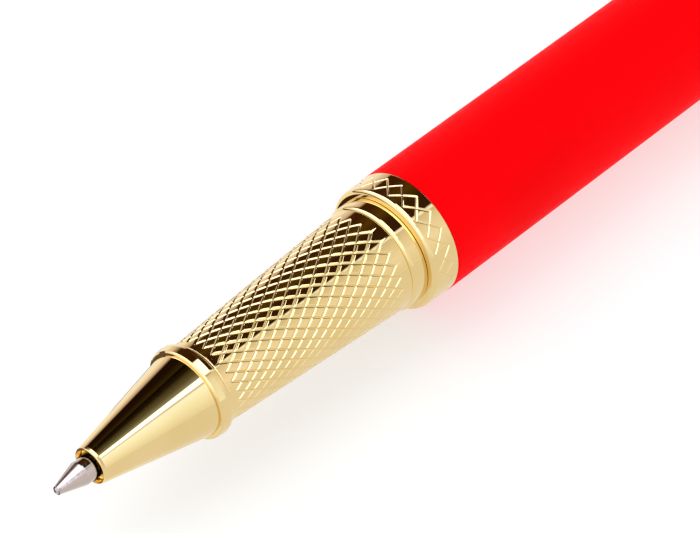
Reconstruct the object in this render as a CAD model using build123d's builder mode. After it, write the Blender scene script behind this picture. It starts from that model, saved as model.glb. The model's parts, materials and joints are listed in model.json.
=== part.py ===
from build123d import *
from math import acos, cos, sin
import os

# A capped rollerball pen with its cap pushed onto the tail. Millimetres.
# The pen lies along +X: the apex of the writing ball is the origin and the tail is at +X.
# Z is up. Nearly every piece is turned, so its profile is drawn as (x, radius) and revolved.

os.makedirs("parts", exist_ok=True)

# ---------------------------------------------------------------- driving dimensions

gap = 0.04  # radial clearance between pieces that are pressed, glued or screwed together
slip = 0.09  # radial clearance of the cap on its seats

# Refill
ball_r = 0.35
ball_play = 0.02
point_r = 1.15
point_cone_end_x = 2.9
point_end_x = 9.0
nose_front_x = 5.5
nose_tip_r = 1.42
nose_step_x = 9.8
nose_r = 2.05
refill_shoulder_x = 21.3
refill_tube_front_x = 23.0
refill_r = 3.05
refill_bore_r = 2.6
refill_length = 110.6
wick_r = 0.5

# Section: nose cone, bead and grip
mouth_x = 4.0
mouth_hole_r = 1.6
mouth_rim_r = 1.8
cone_end_x = 15.4
cone_end_r = 4.01
bead_lip_r = 4.19
bead_top_x = 16.3
bead_top_r = 4.47
bead_end_x = 17.0
grip_front_r = 3.99
grip_end_x = 38.45
grip_rear_r = 5.18
collar_end_x = 40.22
collar_r = 5.36
spigot_r = 3.16
spigot_end_x = 21.0
liner_bore_r = 3.2
liner_r = 3.52
liner_end_x = 46.0

# Screw joint between section and barrel
thread_front_x = 42.3
thread_turns = 6
thread_pitch = 1.0
thread_r = 4.3
thread_depth = 0.36
thread_clearance = 0.06
coupler_front_x = 36.4
coupler_flange_r = 4.5
o_ring_x = 41.45
o_ring_r = 4.3
o_ring_wire_r = 0.3
o_ring_pocket_r = 4.75

# Barrel
ring_front_x = 40.26
ring_end_x = 43.38
ring_front_r = 6.12
ring_rear_r = 6.18
barrel_r = 6.2
barrel_bore_r = 5.6
barrel_end_x = 106.0
insert_end_x = 54.0
tail_bush_front_x = 98.0
tail_ring_end_x = 107.4
tail_core_r = 5.0
sleeve_end_x = 119.0
tail_end_x = 124.5
spring_seat_x = 117.5
spring_r = 2.3
spring_wire_r = 0.2
spring_turns = 5

# Cap
cap_mouth_x = 107.5
lip_end_x = 110.1
lip_r = 6.8
cap_r = 6.7
cap_rear_r = 6.4
cap_bore_r = 6.0
cap_end_x = 153.0
cap_wall = 1.0
liner_front_x = 108.3
inner_cap_front_x = 134.5
inner_cap_bore_r = 4.2
inner_cap_floor_x = 149.1
inner_cap_end_x = 151.95
band_end_x = 153.8
pen_end_x = 158.0
screw_r = 1.2
screw_hole_r = 1.26
screw_head_r = 2.2

# Clip: it leans this far out, so that clip and cap lip both touch the surface the pen lies on
clip_outer_r = 9.4
clip_thickness = 0.9
clip_lean = acos(lip_r / clip_outer_r)
clip_root_width = 4.0
clip_tip_width = 2.4
clip_tab_r = 7.9
clip_tip_x = 117.2
clip_curl_r = 1.2
clip_curl_clearance = 0.06


def turned(*profile):
    """Revolve a closed profile of (x, radius) or (x, radius, corner rounding) about the axis."""
    corners = [(p[0], p[1]) for p in profile]
    rounding = [p[2] if len(p) > 2 else 0 for p in profile]
    with BuildSketch(Plane.XZ) as section:
        with BuildLine():
            FilletPolyline(*corners, radius=rounding, close=True)
        make_face()
    revolve(section.sketch, axis=Axis.X)


def tube(front_x, rear_x, bore_r, outer_r, edge=0):
    """A plain tube with its two outer edges rounded."""
    turned((front_x, bore_r), (front_x, outer_r, edge), (rear_x, outer_r, edge), (rear_x, bore_r))


def rod(front_x, rear_x, outer_r, edge=0):
    """A plain round rod with its two outer edges rounded."""
    turned((front_x, 0), (front_x, outer_r, edge), (rear_x, outer_r, edge), (rear_x, 0))


def save(piece, name):
    piece.part.label = name
    export_step(piece.part, f"parts/{name}.step")


# ---------------------------------------------------------------- refill

with BuildPart() as ball:
    with Locations((ball_r, 0, 0)):
        Sphere(ball_r)
save(ball, "ball")

# The point's lip is rolled in past the ball's widest circle, so the ball can't fall out.
seat_r = ball_r + ball_play
lip_x = 0.2
lip_outer_r = 0.4
ink_channel_r = 0.22
wick_bore_r = wick_r + gap
wick_front_x = 6.5
with BuildPart() as point_tip:
    turned(
        (lip_x, 0),
        (lip_x, lip_outer_r),
        (point_cone_end_x, point_r),
        (point_end_x, point_r, 0.1),
        (point_end_x, 0),
    )
    with Locations((ball_r, 0, 0)):
        Sphere(seat_r, mode=Mode.SUBTRACT)
    with BuildSketch(Plane.YZ.offset(ball_r)):
        Circle(ink_channel_r)
    extrude(amount=point_end_x, mode=Mode.SUBTRACT)
    with BuildSketch(Plane.YZ.offset(wick_front_x - 0.1)):
        Circle(wick_bore_r)
    extrude(amount=point_end_x, mode=Mode.SUBTRACT)
save(point_tip, "point_tip")

nose_spigot_r = refill_bore_r - gap
nose_end_x = 27.0
with BuildPart() as refill_nose:
    turned(
        (nose_front_x, point_r + gap),
        (nose_front_x, nose_tip_r, 0.15),
        (nose_step_x, nose_tip_r),
        (nose_step_x + 0.8, nose_r),
        (refill_shoulder_x, nose_r),
        (refill_shoulder_x, refill_r, 0.2),
        (refill_tube_front_x - 0.02, refill_r),
        (refill_tube_front_x - 0.02, nose_spigot_r),
        (nose_end_x, nose_spigot_r, 0.2),
        (nose_end_x, wick_bore_r),
        (point_end_x + gap, wick_bore_r),
        (point_end_x + gap, point_r + gap),
    )
save(refill_nose, "refill_nose")

reservoir_front_x = 30.0
reservoir_rear_x = 104.0
wick_end_x = reservoir_front_x + 4.0
with BuildPart() as refill_wick:
    rod(wick_front_x, wick_end_x, wick_r, 0.1)
save(refill_wick, "refill_wick")

refill_tube_end_x = refill_length - 1.2
with BuildPart() as refill_tube:
    tube(refill_tube_front_x, refill_tube_end_x, refill_bore_r, refill_r, 0.05)
save(refill_tube, "refill_tube")

reservoir_r = 2.45
with BuildPart() as ink_reservoir:
    rod(reservoir_front_x, reservoir_rear_x, reservoir_r, 0.2)
    with BuildSketch(Plane.YZ.offset(reservoir_front_x)):
        Circle(wick_bore_r)
    extrude(amount=wick_end_x - reservoir_front_x + gap, mode=Mode.SUBTRACT)
save(ink_reservoir, "ink_reservoir")

plug_front_x = 105.0
vent_r = 0.4
with BuildPart() as refill_plug:
    turned(
        (plug_front_x, vent_r),
        (plug_front_x, nose_spigot_r, 0.2),
        (refill_tube_end_x + 0.02, nose_spigot_r),
        (refill_tube_end_x + 0.02, refill_r),
        (refill_length, refill_r, 0.3),
        (refill_length, vent_r),
    )
save(refill_plug, "refill_plug")

# ---------------------------------------------------------------- section

cone_bore_step_x = 9.4
cone_bore_r = 2.35
with BuildPart() as nose_cone:
    turned(
        (mouth_x, mouth_hole_r, 0.08),
        (mouth_x + 0.08, mouth_rim_r, 0.1),
        (cone_end_x, cone_end_r),
        (cone_end_x, spigot_r),
        (spigot_end_x, spigot_r, 0.15),
        (spigot_end_x, cone_bore_r),
        (cone_bore_step_x + 0.8, cone_bore_r),
        (cone_bore_step_x, mouth_hole_r),
    )
save(nose_cone, "nose_cone")

# Profile of the bead: a sharp front lip, a round crown and a hollow that meets the grip.
with BuildPart() as bead_ring:
    with BuildSketch(Plane.XZ):
        with BuildLine():
            Line((cone_end_x, spigot_r + gap), (cone_end_x, bead_lip_r))
            ThreePointArc((cone_end_x, bead_lip_r), (bead_top_x, bead_top_r), (16.78, 4.22))
            RadiusArc((16.78, 4.22), (bead_end_x, 4.0), 0.35)
            Polyline(
                (bead_end_x, 4.0),
                (bead_end_x, spigot_r + gap),
                (cone_end_x, spigot_r + gap),
            )
        make_face()
    revolve(axis=Axis.X)
save(bead_ring, "bead_ring")

grip_bore_r = liner_r + gap
with BuildPart() as grip_sleeve:
    turned(
        (bead_end_x, grip_bore_r),
        (bead_end_x, grip_front_r, 0.06),
        (grip_end_x, grip_rear_r),
        (grip_end_x, coupler_flange_r + gap),
        (coupler_front_x - gap, coupler_flange_r + gap),
        (coupler_front_x - gap, grip_bore_r),
    )
save(grip_sleeve, "grip_sleeve")

with BuildPart() as section_liner:
    tube(bead_end_x + 0.05, liner_end_x, liner_bore_r, liner_r, 0.1)
save(section_liner, "section_liner")

with BuildPart() as section_collar:
    turned(
        (grip_end_x + 0.02, thread_r + gap),
        (grip_end_x + 0.02, collar_r, 0.35),
        (collar_end_x, collar_r, 0.1),
        (collar_end_x, thread_r + gap),
    )
save(section_collar, "section_collar")

# The thread is drawn as a row of equal V ridges: each ridge is one turn.
thread_root_r = thread_r - thread_depth
thread_end_x = thread_front_x + thread_turns * thread_pitch
coupler_end_x = thread_end_x + 0.3
thread_ridges = []
for turn in range(thread_turns):
    start_x = thread_front_x + turn * thread_pitch
    thread_ridges += [
        (start_x + 0.1, thread_root_r),
        (start_x + 0.42, thread_r),
        (start_x + 0.58, thread_r),
        (start_x + 0.9, thread_root_r),
    ]
groove_front_x = o_ring_x - o_ring_wire_r - 0.06
groove_rear_x = o_ring_x + o_ring_wire_r + 0.06
groove_r = o_ring_r - o_ring_wire_r - 0.02
with BuildPart() as threaded_coupler:
    turned(
        (coupler_front_x, liner_r + gap),
        (coupler_front_x, coupler_flange_r),
        (grip_end_x, coupler_flange_r),
        (grip_end_x, thread_r),
        (groove_front_x, thread_r),
        (groove_front_x, groove_r),
        (groove_rear_x, groove_r),
        (groove_rear_x, thread_r),
        (thread_front_x, thread_r),
        (thread_front_x, thread_root_r),
        *thread_ridges,
        (coupler_end_x, thread_root_r),
        (coupler_end_x, liner_r + gap),
    )
save(threaded_coupler, "threaded_coupler")

with BuildPart() as o_ring:
    with BuildSketch(Plane.XZ):
        with Locations((o_ring_x, o_ring_r)):
            Circle(o_ring_wire_r)
    revolve(axis=Axis.X)
save(o_ring, "o_ring")

# ---------------------------------------------------------------- barrel

insert_front_x = 40.9
insert_neck_r = 5.3
with BuildPart() as barrel_ring:
    turned(
        (ring_front_x, o_ring_pocket_r),
        (ring_front_x, ring_front_r, 0.12),
        (ring_end_x - 0.02, ring_rear_r, 0.05),
        (ring_end_x - 0.02, insert_neck_r + gap),
        (insert_front_x - 0.02, insert_neck_r + gap),
        (insert_front_x - 0.02, o_ring_pocket_r),
    )
save(barrel_ring, "barrel_ring")

guide_r = 3.35
insert_step_x = 51.0
with BuildPart() as barrel_insert:
    turned(
        (insert_front_x, o_ring_pocket_r),
        (insert_front_x, insert_neck_r),
        (ring_end_x, insert_neck_r),
        (ring_end_x, barrel_bore_r - gap),
        (insert_end_x, barrel_bore_r - gap, 0.2),
        (insert_end_x, guide_r),
        (insert_step_x, guide_r),
        (insert_step_x, thread_r + thread_clearance),
        (thread_front_x, thread_r + thread_clearance),
        (thread_front_x, o_ring_pocket_r),
    )
save(barrel_insert, "barrel_insert")

with BuildPart() as barrel_tube:
    tube(ring_end_x + 0.02, barrel_end_x - 0.02, barrel_bore_r, barrel_r, 0.08)
save(barrel_tube, "barrel_tube")

# Closed by a wall at its rear: the spring sits on it and the tail screw goes through it.
tail_bore_r = 3.4
spring_pocket_r = 2.9
with BuildPart() as tail_bush:
    turned(
        (tail_bush_front_x, tail_bore_r),
        (tail_bush_front_x, barrel_bore_r - gap, 0.2),
        (barrel_end_x, barrel_bore_r - gap),
        (barrel_end_x, tail_core_r),
        (sleeve_end_x, tail_core_r),
        (sleeve_end_x, screw_hole_r),
        (spring_seat_x, screw_hole_r),
        (spring_seat_x, spring_pocket_r),
        (113.5, spring_pocket_r),
        (113.5, tail_bore_r),
    )
save(tail_bush, "tail_bush")

with BuildPart() as tail_ring:
    turned(
        (barrel_end_x, tail_core_r + gap),
        (barrel_end_x, barrel_r, 0.12),
        (tail_ring_end_x, barrel_r, 0.2),
        (tail_ring_end_x, tail_core_r + gap),
    )
save(tail_ring, "tail_ring")

sleeve_rear_r = 5.26
with BuildPart() as posting_sleeve:
    turned(
        (tail_ring_end_x + 0.02, tail_core_r + gap),
        (tail_ring_end_x + 0.02, collar_r),
        (sleeve_end_x - 0.02, sleeve_rear_r, 0.05),
        (sleeve_end_x - 0.02, tail_core_r + gap),
    )
save(posting_sleeve, "posting_sleeve")

tail_thread_end_x = 122.5
with BuildPart() as tail_finial:
    turned(
        (sleeve_end_x, screw_hole_r),
        (sleeve_end_x, sleeve_rear_r - 0.05, 0.1),
        (121.6, 5.15, 1.2),
        (123.9, 3.9, 0.5),
        (tail_end_x, 2.2, 0.4),
        (tail_end_x, 0),
        (tail_thread_end_x, 0),
        (tail_thread_end_x, screw_hole_r),
    )
save(tail_finial, "tail_finial")


def screw(head_x, shank_end_x, head_r, slot_width=0.5, slot_depth=0.4):
    """A slotted screw whose head starts at head_x and whose shank points along +X."""
    head_length = 1.05
    turned(
        (head_x, 0),
        (head_x, head_r, 0.2),
        (head_x + head_length, head_r),
        (head_x + head_length, screw_r),
        (shank_end_x, screw_r, 0.2),
        (shank_end_x, 0),
    )
    with BuildSketch(Plane.YZ.offset(head_x)) as slot:
        Rectangle(3 * head_r, slot_width)
    extrude(slot.sketch, amount=slot_depth, mode=Mode.SUBTRACT)


with BuildPart() as tail_screw:
    screw(spring_seat_x - 1.09, tail_thread_end_x - 0.3, 1.7)
save(tail_screw, "tail_screw")

# A closely sized compression spring between the refill's plug and the bush's end wall.
spring_front_x = refill_length + 0.05 + spring_wire_r
spring_rear_x = spring_seat_x - 0.05 - spring_wire_r
spring_length = spring_rear_x - spring_front_x
with BuildPart() as refill_spring:
    with BuildLine() as coil:
        Helix(
            spring_length / spring_turns,
            spring_length,
            spring_r,
            center=(spring_front_x, 0, 0),
            direction=(1, 0, 0),
        )
    with BuildSketch(Plane(origin=coil.line @ 0, z_dir=coil.line % 0)):
        Circle(spring_wire_r)
    sweep(is_frenet=True)
save(refill_spring, "refill_spring")

# ---------------------------------------------------------------- cap

cap_liner_bore_r = collar_r + slip
liner_outer_r = cap_bore_r - gap
with BuildPart() as cap_lip_ring:
    turned(
        (cap_mouth_x, cap_liner_bore_r),
        (cap_mouth_x, lip_r - 0.05, 0.3),
        (lip_end_x - 0.02, lip_r, 0.12),
        (lip_end_x - 0.02, liner_outer_r + 2 * gap),
        (liner_front_x - 0.02, liner_outer_r + 2 * gap),
        (liner_front_x - 0.02, cap_liner_bore_r),
    )
save(cap_lip_ring, "cap_lip_ring")

# A drawn cup with a gently curved wall; the clip band is clamped against its closed end.
with BuildPart() as cap_tube:
    with BuildSketch(Plane.XZ):
        with BuildLine():
            Polyline(
                (cap_end_x, cap_rear_r),
                (cap_end_x, screw_hole_r),
                (cap_end_x - cap_wall, screw_hole_r),
                (cap_end_x - cap_wall, cap_bore_r),
                (lip_end_x, cap_bore_r),
                (lip_end_x, cap_r),
            )
            ThreePointArc(
                (lip_end_x, cap_r),
                ((lip_end_x + cap_end_x) / 2, 0.75 * cap_r + 0.25 * cap_rear_r),
                (cap_end_x, cap_rear_r),
            )
        make_face()
    revolve(axis=Axis.X)
save(cap_tube, "cap_tube")

with BuildPart() as cap_liner:
    tube(liner_front_x, inner_cap_front_x - 0.05, cap_liner_bore_r, liner_outer_r)
save(cap_liner, "cap_liner")

head_recess_x = inner_cap_floor_x + 1.2
with BuildPart() as inner_cap:
    turned(
        (inner_cap_front_x, inner_cap_bore_r),
        (inner_cap_front_x, liner_outer_r),
        (inner_cap_end_x, liner_outer_r, 0.2),
        (inner_cap_end_x, screw_hole_r),
        (head_recess_x, screw_hole_r),
        (head_recess_x, screw_head_r + 0.2),
        (inner_cap_floor_x, screw_head_r + 0.2),
        (inner_cap_floor_x, inner_cap_bore_r),
    )
save(inner_cap, "inner_cap")

cap_thread_end_x = 157.0
with BuildPart() as cap_screw:
    screw(head_recess_x - 1.08, cap_thread_end_x - 0.3, screw_head_r)
save(cap_screw, "cap_screw")

with BuildPart() as cap_finial:
    turned(
        (band_end_x + 0.02, screw_hole_r),
        (band_end_x + 0.02, 6.3, 0.3),
        (154.9, 6.3, 0.3),
        (155.4, 5.7, 0.3),
        (157.2, 4.9, 0.8),
        (pen_end_x, 3.4, 0.3),
        (pen_end_x, 0),
        (cap_thread_end_x, 0),
        (cap_thread_end_x, screw_hole_r),
    )
save(cap_finial, "cap_finial")

# The clip lies in this plane: its x is the pen's axis and its y points out to the clip.
outward = Vector(0, -sin(clip_lean), -cos(clip_lean))
sideways = Vector(0, cos(clip_lean), -sin(clip_lean))
clip_side = Plane(origin=(0, 0, 0), x_dir=(1, 0, 0), z_dir=sideways)
clip_top = Plane(origin=(0, 0, 0), x_dir=(1, 0, 0), z_dir=outward)

with BuildPart() as clip_band:
    tube(cap_end_x + 0.02, band_end_x, screw_hole_r, cap_rear_r + 0.1, 0.1)
    with BuildSketch(clip_side):
        with BuildLine():
            Polyline(
                (cap_end_x + 0.02, cap_rear_r - 1.0),
                (cap_end_x + 0.02, clip_tab_r),
                (band_end_x, clip_tab_r),
                (band_end_x, cap_rear_r - 1.0),
                close=True,
            )
        make_face()
    extrude(amount=clip_root_width / 2, both=True)
save(clip_band, "clip_band")

# The arm starts where the band's tab ends, bends towards the mouth and ends in a rolled curl.
arm_root_r = clip_tab_r + 0.06
arm_tip_x = clip_tip_x + 0.3
arm_inner_r = clip_outer_r - clip_thickness
curl_axis_r = cap_r + clip_curl_clearance + clip_curl_r - 0.01
with BuildPart() as clip_arm:
    with BuildSketch(clip_side):
        with BuildLine():
            FilletPolyline(
                (band_end_x, arm_root_r),
                (band_end_x, clip_outer_r - 0.15),
                (135.0, clip_outer_r),
                (arm_tip_x, curl_axis_r + 0.8),
                (arm_tip_x, curl_axis_r - 0.1),
                (135.0, arm_inner_r),
                (cap_end_x + 0.02, arm_inner_r - 0.15),
                (cap_end_x + 0.02, arm_root_r),
                radius=[0, 0.9, 20, 0, 0, 20, 0.1, 0],
                close=True,
            )
        make_face()
    extrude(amount=clip_root_width / 2, both=True)
    with BuildSketch(clip_top):
        with BuildLine():
            Polyline(
                (band_end_x + 1, -clip_root_width / 2),
                (band_end_x + 1, clip_root_width / 2),
                (arm_tip_x, clip_tip_width / 2),
                (arm_tip_x, -clip_tip_width / 2),
                close=True,
            )
        make_face()
    extrude(amount=20, mode=Mode.INTERSECT)
    with BuildSketch(clip_side):
        with Locations((clip_tip_x, curl_axis_r)):
            Circle(clip_curl_r)
    extrude(amount=clip_tip_width / 2, both=True)
save(clip_arm, "clip_arm")
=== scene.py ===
import json
from math import acos, atan2, ceil, cos, hypot, pi, radians, sin, tan

import bmesh
import bpy
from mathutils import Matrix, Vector


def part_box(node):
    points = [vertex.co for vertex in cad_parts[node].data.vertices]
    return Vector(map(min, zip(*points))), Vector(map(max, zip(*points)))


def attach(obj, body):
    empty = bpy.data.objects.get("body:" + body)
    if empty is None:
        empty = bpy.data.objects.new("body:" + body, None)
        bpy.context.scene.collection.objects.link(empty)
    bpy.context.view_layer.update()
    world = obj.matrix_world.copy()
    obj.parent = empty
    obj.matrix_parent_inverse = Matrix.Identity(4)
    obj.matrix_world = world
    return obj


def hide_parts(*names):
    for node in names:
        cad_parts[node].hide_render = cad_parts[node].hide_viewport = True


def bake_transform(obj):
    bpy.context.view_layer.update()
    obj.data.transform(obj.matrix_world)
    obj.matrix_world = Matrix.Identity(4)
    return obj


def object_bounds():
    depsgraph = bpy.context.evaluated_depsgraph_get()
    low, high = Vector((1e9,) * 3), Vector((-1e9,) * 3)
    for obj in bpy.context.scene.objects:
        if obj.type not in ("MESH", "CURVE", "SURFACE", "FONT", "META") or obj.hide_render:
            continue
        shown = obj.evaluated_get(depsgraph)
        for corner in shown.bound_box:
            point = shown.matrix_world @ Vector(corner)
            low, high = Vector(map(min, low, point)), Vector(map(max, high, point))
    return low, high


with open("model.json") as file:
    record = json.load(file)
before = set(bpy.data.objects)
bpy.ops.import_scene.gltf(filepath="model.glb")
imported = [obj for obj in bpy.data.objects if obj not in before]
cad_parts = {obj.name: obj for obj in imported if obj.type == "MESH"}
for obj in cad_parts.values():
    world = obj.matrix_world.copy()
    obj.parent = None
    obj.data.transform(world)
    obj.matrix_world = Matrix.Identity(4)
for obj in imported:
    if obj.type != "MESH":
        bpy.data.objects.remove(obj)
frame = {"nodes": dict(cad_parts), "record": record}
cad_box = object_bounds()

# Every turned piece is drawn as (x, radius) in millimetres and revolved about the pen's axis,
# which is the row's X axis. Outer stations and radii come from the boxes of the CAD nodes.
# Bores and steps, which a box doesn't show, are named beside the piece that has them.
MM = 0.001
BODY_OF = {n: b for b, nodes in frame["record"]["behaviour"]["bodies"].items() for n in nodes}
SLOT_OF = {s["node"]: s["material_slot"] for s in frame["record"]["subparts"]}


def span(node):
    """A turned node's front station, rear station and outer radius, in millimetres."""
    low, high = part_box(node)
    return low.x / MM, high.x / MM, high.z / MM


# ---------------------------------------------------------------- materials


def new_material(name):
    """An empty node material with its Principled shader; returns material, nodes, links, shader."""
    material = bpy.data.materials.new(name)
    material.use_nodes = True
    nodes, links = material.node_tree.nodes, material.node_tree.links
    return material, nodes, links, nodes["Principled BSDF"]


def coordinates(nodes, links, scale):
    """Object coordinates stretched by scale along X, Y and Z."""
    where = nodes.new("ShaderNodeTexCoord")
    mapping = nodes.new("ShaderNodeMapping")
    mapping.inputs["Scale"].default_value = scale
    links.new(where.outputs["Object"], mapping.inputs["Vector"])
    return mapping.outputs["Vector"]


def noise(nodes, links, vector, scale, detail=3.0):
    """A noise texture's grey value."""
    texture = nodes.new("ShaderNodeTexNoise")
    texture.inputs["Scale"].default_value = scale
    texture.inputs["Detail"].default_value = detail
    links.new(vector, texture.inputs["Vector"])
    return texture.outputs["Fac"]


def remap(nodes, links, value, low, high, start=0.35, end=0.65):
    """Stretches a value from start..end to low..high."""
    node = nodes.new("ShaderNodeMapRange")
    node.inputs["From Min"].default_value = start
    node.inputs["From Max"].default_value = end
    node.inputs["To Min"].default_value = low
    node.inputs["To Max"].default_value = high
    links.new(value, node.inputs["Value"])
    return node.outputs["Result"]


def two_tone(nodes, links, value, dark, light, start=0.35, end=0.65):
    """A colour ramp between two linear colours, driven by value."""
    ramp = nodes.new("ShaderNodeValToRGB")
    ramp.color_ramp.elements[0].position = start
    ramp.color_ramp.elements[0].color = (*dark, 1)
    ramp.color_ramp.elements[1].position = end
    ramp.color_ramp.elements[1].color = (*light, 1)
    links.new(value, ramp.inputs["Fac"])
    return ramp.outputs["Color"]


def bump(nodes, links, shader, height, strength, distance):
    """A bump of the given height, in metres at full strength, on the shader."""
    node = nodes.new("ShaderNodeBump")
    node.inputs["Strength"].default_value = strength
    node.inputs["Distance"].default_value = distance
    links.new(height, node.inputs["Height"])
    links.new(node.outputs["Normal"], shader.inputs["Normal"])


def turned_metal(name, dark, light, rough, turning=0.0):
    """Metal with faint colour drift, uneven polish, and fine lines left by the lathe."""
    material, nodes, links, shader = new_material(name)
    shader.inputs["Metallic"].default_value = 1.0
    vector = coordinates(nodes, links, (1, 1, 1))
    broad = noise(nodes, links, vector, 160)
    links.new(two_tone(nodes, links, broad, dark, light), shader.inputs["Base Color"])
    fine = noise(nodes, links, vector, 900)
    links.new(remap(nodes, links, fine, *rough), shader.inputs["Roughness"])
    if turning:
        lines = noise(nodes, links, coordinates(nodes, links, (1, 0.02, 0.02)), 9000, 2)
        bump(nodes, links, shader, lines, turning, 0.00002)
    return material


def lacquer(name, dark, light, rough):
    """Paint over metal: an even colour with a very slight orange-peel surface."""
    material, nodes, links, shader = new_material(name)
    vector = coordinates(nodes, links, (1, 1, 1))
    drift = noise(nodes, links, vector, 90)
    links.new(two_tone(nodes, links, drift, dark, light), shader.inputs["Base Color"])
    fine = noise(nodes, links, vector, 700)
    links.new(remap(nodes, links, fine, *rough), shader.inputs["Roughness"])
    shader.inputs["Specular IOR Level"].default_value = 0.012
    peel = noise(nodes, links, vector, 1500, 1)
    bump(nodes, links, shader, peel, 0.05, 0.00005)
    return material


def moulded(name, dark, light, rough, grain):
    """Plastic or rubber with a fine moulded grain."""
    material, nodes, links, shader = new_material(name)
    vector = coordinates(nodes, links, (1, 1, 1))
    drift = noise(nodes, links, vector, 250)
    links.new(two_tone(nodes, links, drift, dark, light), shader.inputs["Base Color"])
    links.new(remap(nodes, links, drift, *rough), shader.inputs["Roughness"])
    bump(nodes, links, shader, noise(nodes, links, vector, 6000, 2), grain, 0.00003)
    return material


def fibre(name, dark, light):
    """Ink-soaked fibres that run along the refill."""
    material, nodes, links, shader = new_material(name)
    vector = coordinates(nodes, links, (0.03, 1, 1))
    strands = noise(nodes, links, vector, 4000, 2)
    links.new(two_tone(nodes, links, strands, dark, light), shader.inputs["Base Color"])
    shader.inputs["Roughness"].default_value = 0.9
    bump(nodes, links, shader, strands, 0.6, 0.00005)
    return material


MATERIALS = {
    "gold_plate": turned_metal("gold_plate", (0.82, 0.62, 0.27), (0.86, 0.66, 0.31), (0.02, 0.04)),
    "red_lacquer": lacquer("red_lacquer", (0.93, 0.0, 0.002), (1.0, 0.0, 0.003), (0.45, 0.55)),
    "nickel_silver": turned_metal(
        "nickel_silver", (0.54, 0.46, 0.41), (0.60, 0.51, 0.46), (0.05, 0.1), turning=0.15
    ),
    "carbide": turned_metal("carbide", (0.40, 0.37, 0.38), (0.52, 0.48, 0.49), (0.15, 0.25)),
    "bare_brass": turned_metal(
        "bare_brass", (0.55, 0.38, 0.15), (0.66, 0.48, 0.22), (0.22, 0.34), turning=0.35
    ),
    "spring_steel": turned_metal(
        "spring_steel", (0.42, 0.42, 0.43), (0.55, 0.55, 0.56), (0.25, 0.4)
    ),
    "refill_metal": turned_metal(
        "refill_metal", (0.50, 0.50, 0.51), (0.62, 0.62, 0.63), (0.2, 0.32)
    ),
    "black_plastic": moulded(
        "black_plastic", (0.012, 0.012, 0.013), (0.02, 0.02, 0.022), (0.35, 0.5), grain=0.2
    ),
    "ink_fibre": fibre("ink_fibre", (0.006, 0.008, 0.05), (0.02, 0.03, 0.16)),
    "black_rubber": moulded(
        "black_rubber", (0.015, 0.015, 0.015), (0.03, 0.03, 0.03), (0.6, 0.8), grain=0.3
    ),
}

for node, thing in frame["nodes"].items():
    thing.data.materials.clear()
    thing.data.materials.append(MATERIALS[SLOT_OF[node]])

# ---------------------------------------------------------------- mesh helpers

SEGMENTS = 180  # round a large turned piece
SMALL_SEGMENTS = 96  # round the point and the thread
BALL_SEGMENTS, BALL_RINGS = 48, 16
SUPPORT = 0.03  # how far from a rounded corner the straight run gets its holding loop, in mm


def add_piece(name, vertices, faces, node, sharp=40, moves=True):
    """A mesh piece that stands for a CAD node and has its material slot; it rides on the node's
    body unless it is to be blended."""
    mesh = bpy.data.meshes.new(name)
    mesh.from_pydata([Vector(v) * MM for v in vertices], [], faces)
    mesh.validate()
    outward = bmesh.new()
    outward.from_mesh(mesh)
    bmesh.ops.recalc_face_normals(outward, faces=outward.faces)
    outward.to_mesh(mesh)
    outward.free()
    mesh.polygons.foreach_set("use_smooth", [True] * len(mesh.polygons))
    mesh.set_sharp_from_angle(angle=radians(sharp))
    mesh.materials.append(MATERIALS[SLOT_OF[node]])
    piece = bpy.data.objects.new(name, mesh)
    bpy.context.scene.collection.objects.link(piece)
    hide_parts(node)
    if moves:
        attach(piece, BODY_OF[node])
    return piece


def rounded(profile, steps=5):
    """Turns a closed list of (x, r) or (x, r, rounding) corners into points, with arcs."""
    points = []
    for i, corner in enumerate(profile):
        here = Vector(corner[:2])
        radius = corner[2] if len(corner) > 2 else 0
        if not radius:
            points.append(tuple(here))
            continue
        back = (Vector(profile[i - 1][:2]) - here).normalized()
        ahead = (Vector(profile[(i + 1) % len(profile)][:2]) - here).normalized()
        half = back.angle(ahead) / 2
        reach = radius / tan(half)
        centre = here + (back + ahead).normalized() * (radius / sin(half))
        start, end = here + back * reach, here + ahead * reach
        first = atan2(start.y - centre.y, start.x - centre.x)
        turn = atan2(end.y - centre.y, end.x - centre.x) - first
        turn = (turn + pi) % (2 * pi) - pi
        points.append(tuple(here + back * (reach + SUPPORT)))
        for k in range(steps + 1):
            angle = first + turn * k / steps
            points.append((centre.x + radius * cos(angle), centre.y + radius * sin(angle)))
        points.append(tuple(here + ahead * (reach + SUPPORT)))
    return points


def revolve(points, segments=SEGMENTS):
    """Vertices and faces of a closed profile turned about the axis, with shared axis points."""
    vertices, rings = [], []
    for x, r in points:
        if r < 1e-6:
            rings.append([len(vertices)] * segments)
            vertices.append((x, 0, 0))
        else:
            rings.append(list(range(len(vertices), len(vertices) + segments)))
            for k in range(segments):
                angle = 2 * pi * k / segments
                vertices.append((x, r * sin(angle), r * cos(angle)))
    faces = []
    for ring, following in zip(rings, rings[1:] + rings[:1]):
        for k in range(segments):
            n = (k + 1) % segments
            corners = [ring[k], following[k], following[n], ring[n]]
            face = [c for j, c in enumerate(corners) if c not in corners[:j]]
            if len(face) > 2:
                faces.append(face)
    return vertices, faces


def turn_piece(name, node, profile, segments=SEGMENTS):
    """A turned piece from a closed profile of corners, listed front to rear along the outside."""
    vertices, faces = revolve(rounded(profile), segments)
    return add_piece(name, vertices, faces, node)


# ---------------------------------------------------------------- writing point

# The ball and the point, with its two cone angles and the rolled lip round the ball.
ball_front, ball_rear, ball_r = span("ball")
ball_centre = (ball_front + ball_rear) / 2
ball_angles = [pi * k / BALL_RINGS for k in range(BALL_RINGS + 1)]
ball_profile = [(ball_centre - ball_r * cos(t), ball_r * sin(t)) for t in ball_angles]
add_piece("writing_ball", *revolve(ball_profile, BALL_SEGMENTS), "ball")

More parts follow.
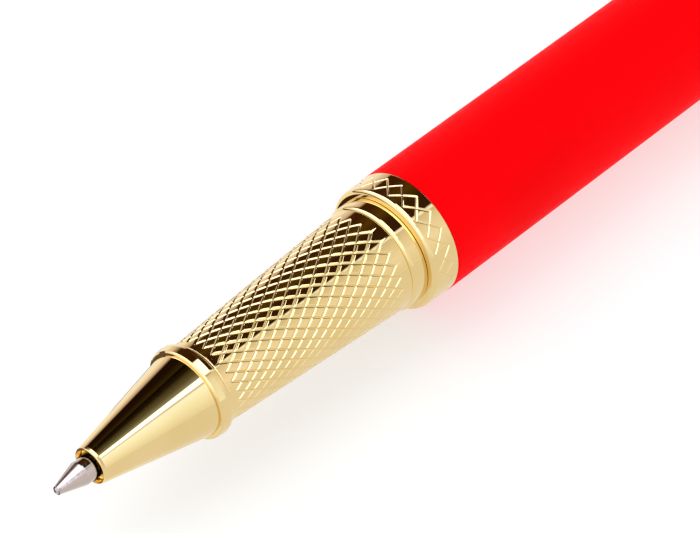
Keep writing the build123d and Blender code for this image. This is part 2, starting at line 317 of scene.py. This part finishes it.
point_front, point_rear, point_r = span("point_tip")
socket_r, ink_channel_r, ink_channel_x = 0.375, 0.5, 0.9
point_cone_end_x = 2.9
turn_piece(
    "turned_point",
    "point_tip",
    [
        (point_front, 0.34, 0.02),
        (point_front, 0.40, 0.03),
        (point_front + 0.22, 0.45, 0.05),
        (point_cone_end_x, point_r - 0.01, 0.5),
        (point_rear, point_r, 0.1),
        (point_rear, ink_channel_r),
        (ink_channel_x, ink_channel_r),
        (ball_centre + 0.25, socket_r),
        (ball_centre - 0.05, socket_r),
    ],
    SMALL_SEGMENTS,
)

# ---------------------------------------------------------------- nose cone and bead

cone_front, cone_rear, _ = span("nose_cone")
bead_front, bead_rear, bead_r = span("bead_ring")
cone_end_r, spigot_r = 4.01, 3.16
mouth_hole_r, mouth_lip_r = 1.6, 1.34
cone_bore_r, cone_bore_front_x, cone_bore_full_x = 2.35, 9.4, 10.2

# From the thin lip 1 mm inside the mouth, over the rim's rolled edge and down the cone, then
# back through the bore.
turn_piece(
    "gold_nose_cone",
    "nose_cone",
    [
        (cone_front + 1.0, mouth_lip_r, 0.08),
        (cone_front + 0.6, 1.56, 0.15),
        (cone_front + 0.02, mouth_hole_r, 0.04),
        (cone_front, 1.68, 0.04),
        (cone_front + 0.06, 1.77, 0.06),
        (cone_front + 0.3, 1.83, 0.3),
        (bead_front, cone_end_r, 0.02),
        (bead_front, spigot_r),
        (cone_rear, spigot_r, 0.15),
        (cone_rear, cone_bore_r),
        (cone_bore_full_x, cone_bore_r),
        (cone_bore_front_x, mouth_hole_r),
        (cone_front + 1.7, mouth_hole_r),
        (cone_front + 1.4, mouth_lip_r),
    ],
)

# The bead: a small bevel in front, a low round crown, and a steep slope down to the grip.
bead_bore_r = 3.2
turn_piece(
    "gold_bead_ring",
    "bead_ring",
    [
        (bead_front, bead_bore_r),
        (bead_front, 4.26, 0.02),
        (bead_front + 0.14, 4.4, 0.1),
        (bead_front + 0.86, bead_r, 0.5),
        (bead_front + 1.25, 4.41, 0.2),
        (bead_rear - 0.12, 4.05, 0.1),
        (bead_rear, 4.02),
        (bead_rear, bead_bore_r),
    ],
)

# ---------------------------------------------------------------- engraving


def cell_divisions(half):
    """Where a cell between two engraved lines is divided: crowded at the grooves, open between."""
    near = [0, half / 3, 2 * half / 3, half, 1.5 * half, (1.5 * half + 0.5) / 2]
    return near + [0.5] + [1 - d for d in reversed(near[1:])]


def engraved_sleeve(radius_at, front, starts, diamond, rows, half_width, depth, lead_in, lead_out):
    """A turned sleeve with a band of crossing engraved lines, as vertices and faces.

    starts lines of each hand leave x = front and cross to make rows of diamonds. The band's grid
    is laid along the lines. lead_in and lead_out are the plain (x, r) rings on either side of it,
    r being None on the engraved surface itself, where the grooves fade out."""
    rear = front + rows * diamond
    pitch = hypot(starts / (2 * pi * radius_at(front)), 1 / diamond)
    cell = cell_divisions(half_width * pitch)
    n = len(cell)
    around, half = starts * n, rows * n
    vertices, faces, found = [], [], {}

    def lattice(index):
        """The index-th division, counted in cells."""
        return index // n + cell[index % n]

    def carved(theta, x):
        """The surface's radius less the depth of the nearest round-bottomed groove."""
        r = radius_at(x)
        steep, slope = starts / (2 * pi * r), 1 / diamond
        size = hypot(steep, slope)
        nearest = half_width
        for hand in (-1, 1):
            value = starts * theta / (2 * pi) + hand * (x - front) / diamond
            off = value - round(value)
            foot_x = x - off * hand * slope / size**2
            distance = abs(off) / size
            for end_x, beyond in ((front, foot_x < front), (rear, foot_x > rear)):
                if beyond:
                    distance = hypot((off - hand * (x - end_x) * slope) / steep, x - end_x)
            nearest = min(nearest, distance)
        return r - depth * (0.5 + 0.5 * cos(pi * nearest / half_width))

    def point(theta, x, radius=None):
        """Adds a vertex, on the engraved surface when no radius is given."""
        r = carved(theta, x) if radius is None else radius
        vertices.append((x, r * sin(theta), r * cos(theta)))
        return len(vertices) - 1

    def grid(p, q):
        """The vertex p divisions along one hand of lines and q along the other."""
        turn = p // around * around
        key = (p - turn, q - turn)
        if key not in found:
            a, b = lattice(key[0]), lattice(key[1])
            found[key] = point(pi * (a + b) / starts, front + (b - a) * diamond / 2)
        return found[key]

    for p in range(around):
        for q in range(p, p + 2 * half + 1):
            corners = [grid(p, q), grid(p + 1, q + 1)]
            if q > p:
                corners.insert(1, grid(p + 1, q))
            if q < p + 2 * half:
                corners.append(grid(p, q + 1))
            faces.append(corners)

    def ring(x, radius):
        """A plain ring of vertices that lines up with the grid's two ends."""
        return [point(2 * pi * lattice(p) / starts, x, radius) for p in range(around)]

    fades = [half_width * k / 4 for k in (1, 2, 3, 4)]
    rings = [ring(*corner) for corner in lead_in]
    rings += [ring(front - d, None) for d in reversed(fades)]
    rings += [[grid(p, p) for p in range(around)], None]
    rings += [[grid(p - half, p + half) for p in range(around)]]
    rings += [ring(rear + d, None) for d in fades]
    rings += [ring(*corner) for corner in lead_out]
    for one, other in zip(rings, rings[1:] + rings[:1]):
        if one and other:
            for k in range(around):
                after = (k + 1) % around
                faces.append((one[k], one[after], other[after], other[k]))
    return vertices, faces


grip_front, grip_rear, grip_r = span("grip_sleeve")
GRIP_FRONT_R = 3.99


def grip_radius(x):
    """The grip's straight taper."""
    return GRIP_FRONT_R + (grip_r - GRIP_FRONT_R) * (x - grip_front) / (grip_rear - grip_front)


def knurled_grip():
    """The tapered grip: 26 lines of each hand make 11 rows of diamonds."""
    edge, bore_r, socket_r, socket_x = 0.06, 3.57, 4.55, 36.3
    return engraved_sleeve(
        grip_radius,
        front=grip_front + 0.7,
        starts=26,
        diamond=1.78,
        rows=11,
        half_width=0.13,
        depth=0.11,
        lead_in=[
            (grip_front, bore_r),
            (grip_front, GRIP_FRONT_R - edge),
            (grip_front + 0.3 * edge, GRIP_FRONT_R - 0.3 * edge),
            (grip_front + edge, None),
            (grip_front + 2 * edge, None),
        ],
        lead_out=[
            (grip_rear - 2 * edge, None),
            (grip_rear - edge, None),
            (grip_rear, grip_r - 0.5 * edge),
            (grip_rear, socket_r),
            (socket_x, socket_r),
            (socket_x, bore_r),
        ],
    )


add_piece("knurled_grip", *knurled_grip(), "grip_sleeve", 75)

# ---------------------------------------------------------------- step, ring and thread

collar_front, collar_rear, collar_r = span("section_collar")
collar_bore_r = 4.34
turn_piece(
    "gold_step",
    "section_collar",
    [
        (collar_front, collar_bore_r),
        (collar_front, collar_r, 0.4),
        (collar_rear, collar_r, 0.05),
        (collar_rear, collar_bore_r),
    ],
)

ring_front, ring_rear, ring_r = span("barrel_ring")


def ornament_ring():
    """The barrel's gold ring with a generic chain of engraved lozenges round it."""
    front_r, edge, rear_edge = 6.12, 0.4, 0.04
    pocket_r, pocket_end_x, neck_bore_r = 4.75, 40.88, 5.34

    def radius_at(x):
        """The ring's slight taper."""
        return front_r + (ring_r - front_r) * (x - ring_front) / (ring_rear - ring_front)

    corner = [radians(15 * k) for k in range(1, 6)]
    return engraved_sleeve(
        radius_at,
        front=ring_front + 0.62,
        starts=22,
        diamond=1.75,
        rows=1,
        half_width=0.115,
        depth=0.08,
        lead_in=[
            (pocket_end_x, neck_bore_r),
            (pocket_end_x, pocket_r),
            (ring_front, pocket_r),
            (ring_front, front_r - edge),
            *[
                (ring_front + edge * (1 - cos(t)), radius_at(ring_front) - edge * (1 - sin(t)))
                for t in corner
            ],
            (ring_front + edge, None),
        ],
        lead_out=[
            (ring_rear - 0.1, None),
            (ring_rear - rear_edge, None),
            (ring_rear, ring_r - rear_edge),
            (ring_rear, neck_bore_r),
        ],
    )


add_piece("ornament_ring", *ornament_ring(), "barrel_ring", 60)

coupler_front, coupler_rear, coupler_r = span("threaded_coupler")
THREAD_FRONT, THREAD_PITCH, THREAD_TURNS = 42.3, 1.0, 6
THREAD_R, THREAD_DEPTH = 4.3, 0.36
THREAD_ROOT_R = THREAD_R - THREAD_DEPTH


def helical_thread():
    """The section's male thread: a true helix that fades in and out at its two ends."""
    bore_r, groove_r, groove_front, groove_rear = 3.56, 3.98, 41.09, 41.81
    per_turn, fade_length = 24, 0.5
    thread_rear = THREAD_FRONT + THREAD_TURNS * THREAD_PITCH
    plain = [
        (coupler_front, bore_r),
        (coupler_front, coupler_r),
        (grip_rear, coupler_r),
        (grip_rear, THREAD_R),
        (groove_front, THREAD_R),
        (groove_front, groove_r),
        (groove_rear, groove_r),
        (groove_rear, THREAD_R),
        (THREAD_FRONT, THREAD_R),
        (THREAD_FRONT, THREAD_ROOT_R),
    ]
    steps = THREAD_TURNS * per_turn
    stations = [THREAD_FRONT + (k + 1) * THREAD_PITCH / per_turn for k in range(steps - 1)]
    root = [(x, THREAD_ROOT_R) for x in stations]
    ends = [(coupler_rear, THREAD_ROOT_R), (coupler_rear, bore_r)]
    vertices, faces = revolve(plain + root + ends, SMALL_SEGMENTS)
    first = len(plain) * SMALL_SEGMENTS
    for k in range(first, first + len(root) * SMALL_SEGMENTS):
        x, y, z = vertices[k]
        turn = (x - THREAD_FRONT) / THREAD_PITCH - atan2(y, z) / (2 * pi)
        fade = min(1, (x - THREAD_FRONT) / fade_length, (thread_rear - x) / fade_length)
        # A wave clipped at both ends gives flat crests and roots with steep flanks between.
        crest = min(1, max(0, 0.5 - 0.75 * cos(2 * pi * turn)))
        scale = 1 + THREAD_DEPTH * fade * crest / THREAD_ROOT_R
        vertices[k] = (x, y * scale, z * scale)
    return vertices, faces


add_piece("helical_thread", *helical_thread(), "threaded_coupler")

# ---------------------------------------------------------------- barrel

tube_front, tube_rear, tube_r = span("barrel_tube")
barrel_bore_r = 5.6
turn_piece(
    "lacquered_barrel",
    "barrel_tube",
    [
        (tube_front, barrel_bore_r),
        (tube_front, tube_r, 0.08),
        (tube_rear, tube_r, 0.08),
        (tube_rear, barrel_bore_r),
    ],
)

# ---------------------------------------------------------------- tail

tail_bore_r = 5.04  # of the ring and the sleeve, which sit on the bush
screw_hole_r = 1.26  # in both finials and the cap's end wall
tail_front, tail_rear, tail_r = span("tail_ring")
turn_piece(
    "gold_tail_ring",
    "tail_ring",
    [
        (tail_front, tail_bore_r),
        (tail_front, tail_r, 0.1),
        (tail_rear, tail_r, 0.3),
        (tail_rear, tail_bore_r),
    ],
)

sleeve_front, sleeve_rear, sleeve_r = span("posting_sleeve")
sleeve_rear_r = 5.26
turn_piece(
    "gold_posting_sleeve",
    "posting_sleeve",
    [
        (sleeve_front, tail_bore_r),
        (sleeve_front, sleeve_r, 0.04),
        (sleeve_rear, sleeve_rear_r, 0.06),
        (sleeve_rear, tail_bore_r),
    ],
)

# The end piece: a turned groove near its front, then a domed end with a small flat.
finial_front, finial_rear, finial_r = span("tail_finial")
finial_groove_r, finial_hole_end_x = finial_r - 0.12, 122.5
turn_piece(
    "gold_tail_finial",
    "tail_finial",
    [
        (finial_front, screw_hole_r),
        (finial_front, finial_r, 0.1),
        (finial_front + 0.5, finial_r, 0.06),
        (finial_front + 0.62, finial_groove_r, 0.04),
        (finial_front + 0.78, finial_groove_r, 0.04),
        (finial_front + 0.9, finial_r - 0.02, 0.06),
        (finial_front + 2.6, 5.1, 1.2),
        (finial_front + 4.9, 3.9, 0.5),
        (finial_rear, 2.2, 0.4),
        (finial_rear - 0.06, 0),
        (finial_hole_end_x, 0),
        (finial_hole_end_x, screw_hole_r),
    ],
)


def coil_spring():
    """The refill's spring: five open turns between two closed end turns, as a swept wire."""
    spring_front, spring_rear, spring_r = span("refill_spring")
    wire_r, open_turns, steps, sides = 0.2, 5, 36, 10
    path_r = spring_r - wire_r
    front, rear = spring_front + wire_r, spring_rear - wire_r
    closed = 2.05 * wire_r
    rise = (rear - front - 2 * closed) / open_turns
    total = (open_turns + 2) * steps
    vertices, faces = [], []
    for k in range(total + 1):
        turn = k / steps
        if turn < 1:
            x, lean = front + closed * turn, closed
        elif turn > open_turns + 1:
            x, lean = rear - closed * (open_turns + 2 - turn), closed
        else:
            x, lean = front + closed + rise * (turn - 1), rise
        angle = 2 * pi * turn
        out = Vector((0, cos(angle), sin(angle)))
        along = Vector((lean / (2 * pi), -path_r * sin(angle), path_r * cos(angle))).normalized()
        side = along.cross(out)
        for j in range(sides):
            spin = 2 * pi * j / sides
            offset = (out * cos(spin) + side * sin(spin)) * wire_r
            vertices.append(tuple(Vector((x, 0, 0)) + out * path_r + offset))
    for k in range(total):
        for j in range(sides):
            n = (j + 1) % sides
            a, b = k * sides, (k + 1) * sides
            faces.append((a + j, a + n, b + n, b + j))
    faces.append(tuple(range(sides)))
    faces.append(tuple(range(total * sides, (total + 1) * sides)))
    return vertices, faces


spring = add_piece("coil_spring", *coil_spring(), "refill_spring", moves=False)
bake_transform(spring)

# ---------------------------------------------------------------- cap

# The ring at the cap's mouth, with a turned groove near its rear edge.
lip_front, lip_rear, lip_r = span("cap_lip_ring")
lip_bore_r, lip_socket_r, lip_socket_x = 5.46, 6.04, 108.28
lip_groove_r = lip_r - 0.1
turn_piece(
    "gold_cap_lip",
    "cap_lip_ring",
    [
        (lip_socket_x, lip_bore_r),
        (lip_front, lip_bore_r, 0.06),
        (lip_front, lip_r - 0.05, 0.45),
        (lip_rear - 0.75, lip_r, 0.06),
        (lip_rear - 0.63, lip_groove_r, 0.04),
        (lip_rear - 0.47, lip_groove_r, 0.04),
        (lip_rear - 0.35, lip_r, 0.06),
        (lip_rear, lip_r, 0.08),
        (lip_rear, lip_socket_r),
        (lip_socket_x, lip_socket_r),
    ],
)

cap_front, cap_rear, cap_r = span("cap_tube")
CAP_REAR_R, CAP_BORE_R, CAP_WALL = 6.4, 6.0, 1.0


def cap_radius(x):
    """The cap's gently curved side."""
    return cap_r - (cap_r - CAP_REAR_R) * ((x - cap_front) / (cap_rear - cap_front)) ** 2


def cap_outline():
    """The closed profile of the lacquered cap: mouth, curved side, end wall and bore."""
    mouth, end, side_steps = 0.05, 0.1, 24
    step = (cap_rear - cap_front) / side_steps
    outline = [
        (cap_front, CAP_BORE_R),
        (cap_front, cap_r - mouth),
        (cap_front + 0.3 * mouth, cap_r - 0.3 * mouth),
        (cap_front + mouth, cap_radius(cap_front + mouth)),
    ]
    for k in range(1, side_steps):
        outline.append((cap_front + step * k, cap_radius(cap_front + step * k)))
    outline += [
        (cap_rear - end, CAP_REAR_R),
        (cap_rear - 0.3 * end, CAP_REAR_R - 0.3 * end),
        (cap_rear, CAP_REAR_R - end),
        (cap_rear, screw_hole_r),
        (cap_rear - CAP_WALL, screw_hole_r),
        (cap_rear - CAP_WALL, CAP_BORE_R),
    ]
    return outline


add_piece("lacquered_cap", *revolve(cap_outline()), "cap_tube")

# The end piece: a stepped dome whose flat end has a turned groove in it.
end_front, end_rear, end_r = span("cap_finial")
end_hole_end_x = 157.0
turn_piece(
    "gold_cap_finial",
    "cap_finial",
    [
        (end_front, screw_hole_r),
        (end_front, end_r, 0.3),
        (end_front + 1.08, end_r, 0.3),
        (end_front + 1.58, 5.7, 0.3),
        (end_front + 3.38, 4.9, 0.8),
        (end_rear, 3.4, 0.3),
        (end_rear, 2.6, 0.04),
        (end_rear - 0.12, 2.5, 0.04),
        (end_rear - 0.12, 2.3, 0.04),
        (end_rear - 0.02, 2.2, 0.04),
        (end_rear - 0.02, 0),
        (end_hole_end_x, 0),
        (end_hole_end_x, screw_hole_r),
    ],
)

# The clip leans until the middle of its outside is level with the bottom of the cap's lip.
CLIP_R, CAP_LIP_R = 9.4, 6.8
CLIP_LEAN = acos(CAP_LIP_R / CLIP_R)
CLIP_ROOT_X, CLIP_ROOT_HALF, CLIP_TIP_HALF = 153.8, 2.0, 1.2
CURL_X, CURL_AXIS_R, CURL_R = 117.2, 7.95, 1.2
clip_out = Vector((0, -sin(CLIP_LEAN), -cos(CLIP_LEAN)))
clip_side = Vector((0, cos(CLIP_LEAN), -sin(CLIP_LEAN)))


def clip_outline():
    """Side view of the clip's arm as (x, radius): root, long arm and rolled curl."""
    root_r, bend, steps = 7.96, 0.85, 12
    outer_r, outer_length, outer_bow = CLIP_R - 0.17, 34.3, 0.16
    inner_r, inner_front, inner_length, inner_bow = CURL_AXIS_R + 0.4, CURL_X + 2.0, 33.2, 0.12
    inner_rear = CLIP_ROOT_X - 0.76
    points = [(CLIP_ROOT_X, root_r), (CLIP_ROOT_X, root_r + 0.25)]
    for k in range(7):
        angle = radians(15 * k)
        back, down = bend * (1 - cos(angle)), bend * (1 - sin(angle))
        points.append((CLIP_ROOT_X - back, outer_r - down))
    for k in range(1, steps):
        t = k / steps
        rise = outer_bow * sin(pi * min(1, 1.4 * t))
        points.append((CLIP_ROOT_X - bend - outer_length * t, outer_r + rise))
    for k in range(20):
        angle = radians(72 + 13.5 * k)
        points.append((CURL_X + CURL_R * cos(angle), CURL_AXIS_R + CURL_R * sin(angle)))
    points += [(CURL_X + 1.45, CURL_AXIS_R + 0.28), (inner_front, inner_r)]
    for k in range(1, steps):
        t = k / steps
        points.append((inner_front + inner_length * t, inner_r + inner_bow * sin(pi * t)))
    points += [(inner_rear - 0.25, inner_r + 0.02), (inner_rear - 0.07, inner_r - 0.05)]
    points += [(inner_rear, inner_r - 0.2), (inner_rear, root_r)]
    return points


def clip_mesh():
    """The arm's outline carried across its tapering width, with rounded edges and a crown."""
    outline = clip_outline()
    count = len(outline)
    widening = (CLIP_ROOT_HALF - CLIP_TIP_HALF) / (CLIP_ROOT_X - CURL_X)
    edge, crown = 0.14, 0.1
    normals = []
    for i in range(count):
        (ax, ar), (bx, br) = outline[i - 1], outline[(i + 1) % count]
        length = hypot(bx - ax, br - ar)
        normals.append(((br - ar) / length, -(bx - ax) / length))
    # Across the width: the edge's rounding, three places on the crown, the other edge.
    across = []
    for k in range(4):
        angle = radians(30 * k)
        across.append((-1, edge * (1 - sin(angle)), edge * (1 - cos(angle))))
    across += [(-0.6, 0, None), (0, 0, None), (0.6, 0, None)]
    across += [(1, inset, back) for _, inset, back in reversed(across[:4])]
    vertices, faces = [], []
    for place, inset, back in across:
        for (x, r), (nx, nr) in zip(outline, normals):
            half = CLIP_TIP_HALF + widening * (x - CURL_X)
            reach = place * half if back is None else place * (half - back)
            drop = crown * (reach / half) ** 2
            spot = clip_out * (r + nr * inset - drop) + clip_side * reach
            vertices.append((x + nx * inset, spot.y, spot.z))
    for k in range(len(across) - 1):
        for i in range(count):
            n = (i + 1) % count
            a, b = k * count, (k + 1) * count
            faces.append((a + i, a + n, b + n, b + i))
    faces.append(tuple(range(count)))
    faces.append(tuple(range((len(across) - 1) * count, len(across) * count)))
    return vertices, faces


add_piece("rolled_clip", *clip_mesh(), "clip_arm")

# ---------------------------------------------------------------- stage

# The stage is in metres. Directions round the pen's axis are angles in degrees from the
# camera's side: 0 faces the camera and positive angles turn towards the near side of the floor.
CAMERA_AZIMUTH, CAMERA_ELEVATION = radians(-47.2), radians(42.8)
CAMERA_DISTANCE = 0.3413
CAMERA_AIM = Vector((0.0365, 0.0005, 0.00036))
CAMERA_LENS = 199.8
# A painted reflection screen has a row of vertices every SCREEN_STEP degrees, and shifts
# SCREEN_LEAN towards the tail for each degree away from the camera. It ends a little below the
# pen's axis on both sides.
SCREEN_R, SCREEN_STEP, SCREEN_LEAN = 0.5, 5, 0.0006
FAR_END, NEAR_END = -128, 54
FLOOR_SIZE, FLOOR_DROP, CARD_DROP = 3.0, 0.0002, 0.0001  # drops are below the CAD's lowest point
FLOOR_GLOW, WORLD_STRENGTH = 0.53, 0.95
KEY_STRENGTH, KEY_SPREAD, KEY_DIRECTION = 0.7, radians(50), Vector((-0.25, 0.35, 0.9))
camera_back = Vector(
    (
        sin(CAMERA_AZIMUTH) * cos(CAMERA_ELEVATION),
        -cos(CAMERA_AZIMUTH) * cos(CAMERA_ELEVATION),
        sin(CAMERA_ELEVATION),
    )
)


def make_camera():
    """A long lens that sees the pen as the photograph does."""
    data = bpy.data.cameras.new("camera")
    data.lens = CAMERA_LENS
    data.sensor_width = 36
    data.clip_start, data.clip_end = 0.01, 20
    camera = bpy.data.objects.new("camera", data)
    camera.rotation_mode = "QUATERNION"
    camera.location = CAMERA_AIM + camera_back * CAMERA_DISTANCE
    camera.rotation_quaternion = (-camera_back).to_track_quat("-Z", "Y")
    bpy.context.scene.collection.objects.link(camera)
    bpy.context.scene.camera = camera


def glow(name):
    """A glowing material for the painted reflections, whose colour is stored on the mesh as its
    tone.
    """
    material = bpy.data.materials.new(name)
    material.use_nodes = True
    nodes, links = material.node_tree.nodes, material.node_tree.links
    nodes.clear()
    tone = nodes.new("ShaderNodeAttribute")
    tone.attribute_name = "tone"
    light = nodes.new("ShaderNodeEmission")
    links.new(tone.outputs["Color"], light.inputs["Color"])
    output = nodes.new("ShaderNodeOutputMaterial")
    links.new(light.outputs["Emission"], output.inputs["Surface"])
    return material


def add_painted_reflection(name, mesh, tones):
    """Adds a glowing mesh, one tone for each vertex, that only reflections see: a painted
    reflection that lights nothing and casts no shadow.
    """
    attribute = mesh.attributes.new("tone", "FLOAT_COLOR", "POINT")
    attribute.data.foreach_set("color", [c for tone in tones for c in (*tone, 1)])
    mesh.materials.append(glow(name))
    screen = bpy.data.objects.new(name, mesh)
    bpy.context.scene.collection.objects.link(screen)
    screen.visible_camera = False
    screen.visible_shadow = False
    screen.visible_diffuse = False


def painted_reflection_surround(name, reach, tones):
    """A curved glowing band seen only in reflections, which paints the reflections in the metal:
    tones are (turn, colour) stops round the axis, bright stops painting highlights and dark stops
    painting dark bands, and reach is the stretch of the axis that it covers where it faces the
    camera."""
    face_on = atan2(camera_back.z, camera_back.y)
    vertices, faces, colors = [], [], []
    for (turn, color), (next_turn, next_color) in zip(tones, tones[1:]):
        steps = max(1, ceil((next_turn - turn) / SCREEN_STEP))
        for k in range(steps + (next_turn == tones[-1][0])):
            here = turn + (next_turn - turn) * k / steps
            angle = face_on + radians(here)
            for x in reach:
                lean = SCREEN_LEAN * abs(here)
                vertices.append((x + lean, SCREEN_R * cos(angle), SCREEN_R * sin(angle)))
                colors.append([c + (d - c) * k / steps for c, d in zip(color, next_color)])
    for k in range(0, len(vertices) - 2, 2):
        faces.append((k, k + 1, k + 3, k + 2))
    mesh = bpy.data.meshes.new(name)
    mesh.from_pydata(vertices, [], faces)
    add_painted_reflection(name, mesh, colors)


def make_floor():
    """A plain pale floor; part of its white is light of its own, which thins the shadow."""
    material, nodes, links, shader = new_material("floor")
    vector = coordinates(nodes, links, (1, 1, 1))
    grain = noise(nodes, links, vector, 40)
    tone = two_tone(nodes, links, grain, (0.47, 0.47, 0.47), (0.49, 0.49, 0.49))
    links.new(tone, shader.inputs["Base Color"])
    shader.inputs["Roughness"].default_value = 0.9
    shader.inputs["Specular IOR Level"].default_value = 0.0
    shader.inputs["Emission Color"].default_value = (1, 1, 1, 1)
    shader.inputs["Emission Strength"].default_value = FLOOR_GLOW
    height = cad_box[0].z - FLOOR_DROP
    mesh = bpy.data.meshes.new("floor")
    corners = [(-1, -1), (1, -1), (1, 1), (-1, 1)]
    vertices = [(FLOOR_SIZE * x, FLOOR_SIZE * y, height) for x, y in corners]
    mesh.from_pydata(vertices, [], [(0, 1, 2, 3)])
    mesh.materials.append(material)
    floor_plane = bpy.data.objects.new("floor", mesh)
    bpy.context.scene.collection.objects.link(floor_plane)


def make_world():
    """Even white light from all sides."""
    world = bpy.data.worlds.new("studio")
    bpy.context.scene.world = world
    world.use_nodes = True
    background = world.node_tree.nodes["Background"]
    background.inputs["Color"].default_value = (1, 1, 1, 1)
    background.inputs["Strength"].default_value = WORLD_STRENGTH


def make_key_light():
    """A very soft light from above and behind the pen; the painted reflection screens take its
    place in the gold.
    """
    data = bpy.data.lights.new("key_light", "SUN")
    data.energy, data.angle = KEY_STRENGTH, KEY_SPREAD
    light = bpy.data.objects.new("key_light", data)
    light.rotation_mode = "QUATERNION"
    light.rotation_quaternion = KEY_DIRECTION.to_track_quat("Z", "Y")
    light.visible_glossy = False
    bpy.context.scene.collection.objects.link(light)


def reflection_card(name, corner, far_corner, tone):
    """A flat glowing card lying on the floor, seen only in reflections: a painted reflection that
    lights nothing and casts no shadow.
    """
    (x0, y0), (x1, y1), z = corner, far_corner, cad_box[0].z - CARD_DROP
    mesh = bpy.data.meshes.new(name)
    mesh.from_pydata([(x0, y0, z), (x1, y0, z), (x1, y1, z), (x0, y1, z)], [], [(0, 1, 2, 3)])
    add_painted_reflection(name, mesh, [tone] * 4)


make_camera()
make_floor()
make_world()
make_key_light()
# Cards that paint reflections: the ring's and the step's front faces mirror the dark card as a
# painted dark reflection, the pen's lower side the grey one as a painted reflection of the floor,
# and the far edges of the point, the cone's mouth and the bead the two brown ones as painted shade.
PAINTED_BROWN_REFLECTION = (0.15, 0.1, 0.08)
reflection_card("dark_reflection_card", (0.016, 0.006), (0.04, 0.016), (0.05, 0.02, 0.005))
reflection_card("grey_reflection_card", (-0.3, -0.5), (0.5, -0.004), (0.9, 0.885, 0.88))
reflection_card("brown_reflection_card", (-0.3, 0.004), (0.0105, 0.1), PAINTED_BROWN_REFLECTION)
reflection_card("far_brown_reflection_card", (-0.3, 0.1), (0.02, 0.45), PAINTED_BROWN_REFLECTION)
# The painted reflection screen has six stretches, from front to rear, each painting the reflections
# of its own parts. The front flanks of grooves and edges mirror the first two; the point, the nose
# cone, the bead and the cylinders mirror the other four. Its bright stops paint the highlight
# strips and its dark stops paint the dark bands.
painted_reflection_surround(
    "painted_reflection_far_front",
    (-1.5, -0.25),
    [
        (FAR_END, (1.0, 0.97, 1.1)),
        (-100, (1.4, 1.45, 1.6)),
        (16, (1.4, 1.45, 1.6)),
        (NEAR_END, (1.0, 1.0, 1.05)),
    ],
)
painted_reflection_surround(
    "painted_reflection_front",
    (-0.25, -0.04),
    [
        (FAR_END, (1.0, 0.97, 1.1)),
        (-112, (1.2, 1.2, 1.4)),
        (-100, (2.6, 2.8, 3.7)),
        (10, (2.6, 2.8, 3.7)),
        (24, (1.2, 1.25, 1.4)),
        (NEAR_END, (1.0, 1.0, 1.05)),
    ],
)
painted_reflection_surround(
    "painted_reflection_tip",
    (-0.04, 0.025),
    [
        (FAR_END, (0.24, 0.18, 0.15)),
        (-98, (0.15, 0.11, 0.09)),
        (-84, (0.25, 0.2, 0.18)),
        (-74, (0.7, 0.7, 0.7)),
        (-64, (2.6, 2.7, 2.8)),
        (-24, (2.6, 2.7, 2.8)),
        (-14, (0.8, 0.75, 0.7)),
        (20, (0.78, 0.7, 0.66)),
        (NEAR_END, (0.92, 0.86, 0.81)),
    ],
)
painted_reflection_surround(
    "painted_reflection_cone",
    (0.025, 0.1),
    [
        (FAR_END, (1.1, 1.05, 1.15)),
        (-111, (0.62, 0.5, 0.52)),
        (-103, (0.014, 0.005, 0.001)),
        (-82, (0.014, 0.006, 0.002)),
        (-66, (0.034, 0.024, 0.005)),
        (-62, (0.005, 0.002, 0.0)),
        (-48, (0.018, 0.011, 0.003)),
        (-28, (0.13, 0.12, 0.07)),
        (-16, (0.3, 0.32, 0.34)),
        (-13.5, (3.0, 3.2, 3.6)),
        (-3.5, (3.0, 3.2, 3.6)),
        (-2.5, (0.95, 0.95, 1.2)),
        (0, (0.7, 0.66, 0.85)),
        (4, (1.22, 1.42, 1.8)),
        (26, (1.13, 1.23, 1.32)),
        (NEAR_END, (0.97, 0.96, 0.95)),
    ],
)
painted_reflection_surround(
    "painted_reflection_bead",
    (0.1, 0.205),
    [
        (FAR_END, (1.0, 0.97, 1.15)),
        (-112, (0.8, 0.68, 0.6)),
        (-96, (0.05, 0.02, 0.004)),
        (-50, (0.04, 0.015, 0.005)),
        (-46, (2.8, 2.9, 3.1)),
        (-13, (2.8, 2.9, 3.1)),
        (-10, (0.5, 0.42, 0.34)),
        (-5, (0.85, 0.85, 0.85)),
        (6, (1.0, 1.05, 1.15)),
        (NEAR_END, (1.1, 1.15, 1.25)),
    ],
)
painted_reflection_surround(
    "painted_reflection_body",
    (0.205, 1.2),
    [
        (FAR_END, (1.0, 0.97, 1.15)),
        (-111, (0.74, 0.6, 0.58)),
        (-104, (0.055, 0.018, 0.003)),
        (-86, (0.05, 0.018, 0.003)),
        (-62, (0.088, 0.046, 0.006)),
        (-44, (0.042, 0.016, 0.005)),
        (-17, (0.038, 0.016, 0.008)),
        (-14.5, (1.15, 1.25, 1.5)),
        (-12, (1.15, 1.25, 1.5)),
        (-10, (0.78, 0.74, 0.7)),
        (5, (0.93, 0.9, 0.9)),
        (26, (1.04, 1.03, 1.08)),
        (NEAR_END, (0.92, 0.9, 0.86)),
    ],
)
bpy.context.scene.view_settings.view_transform = "Standard"
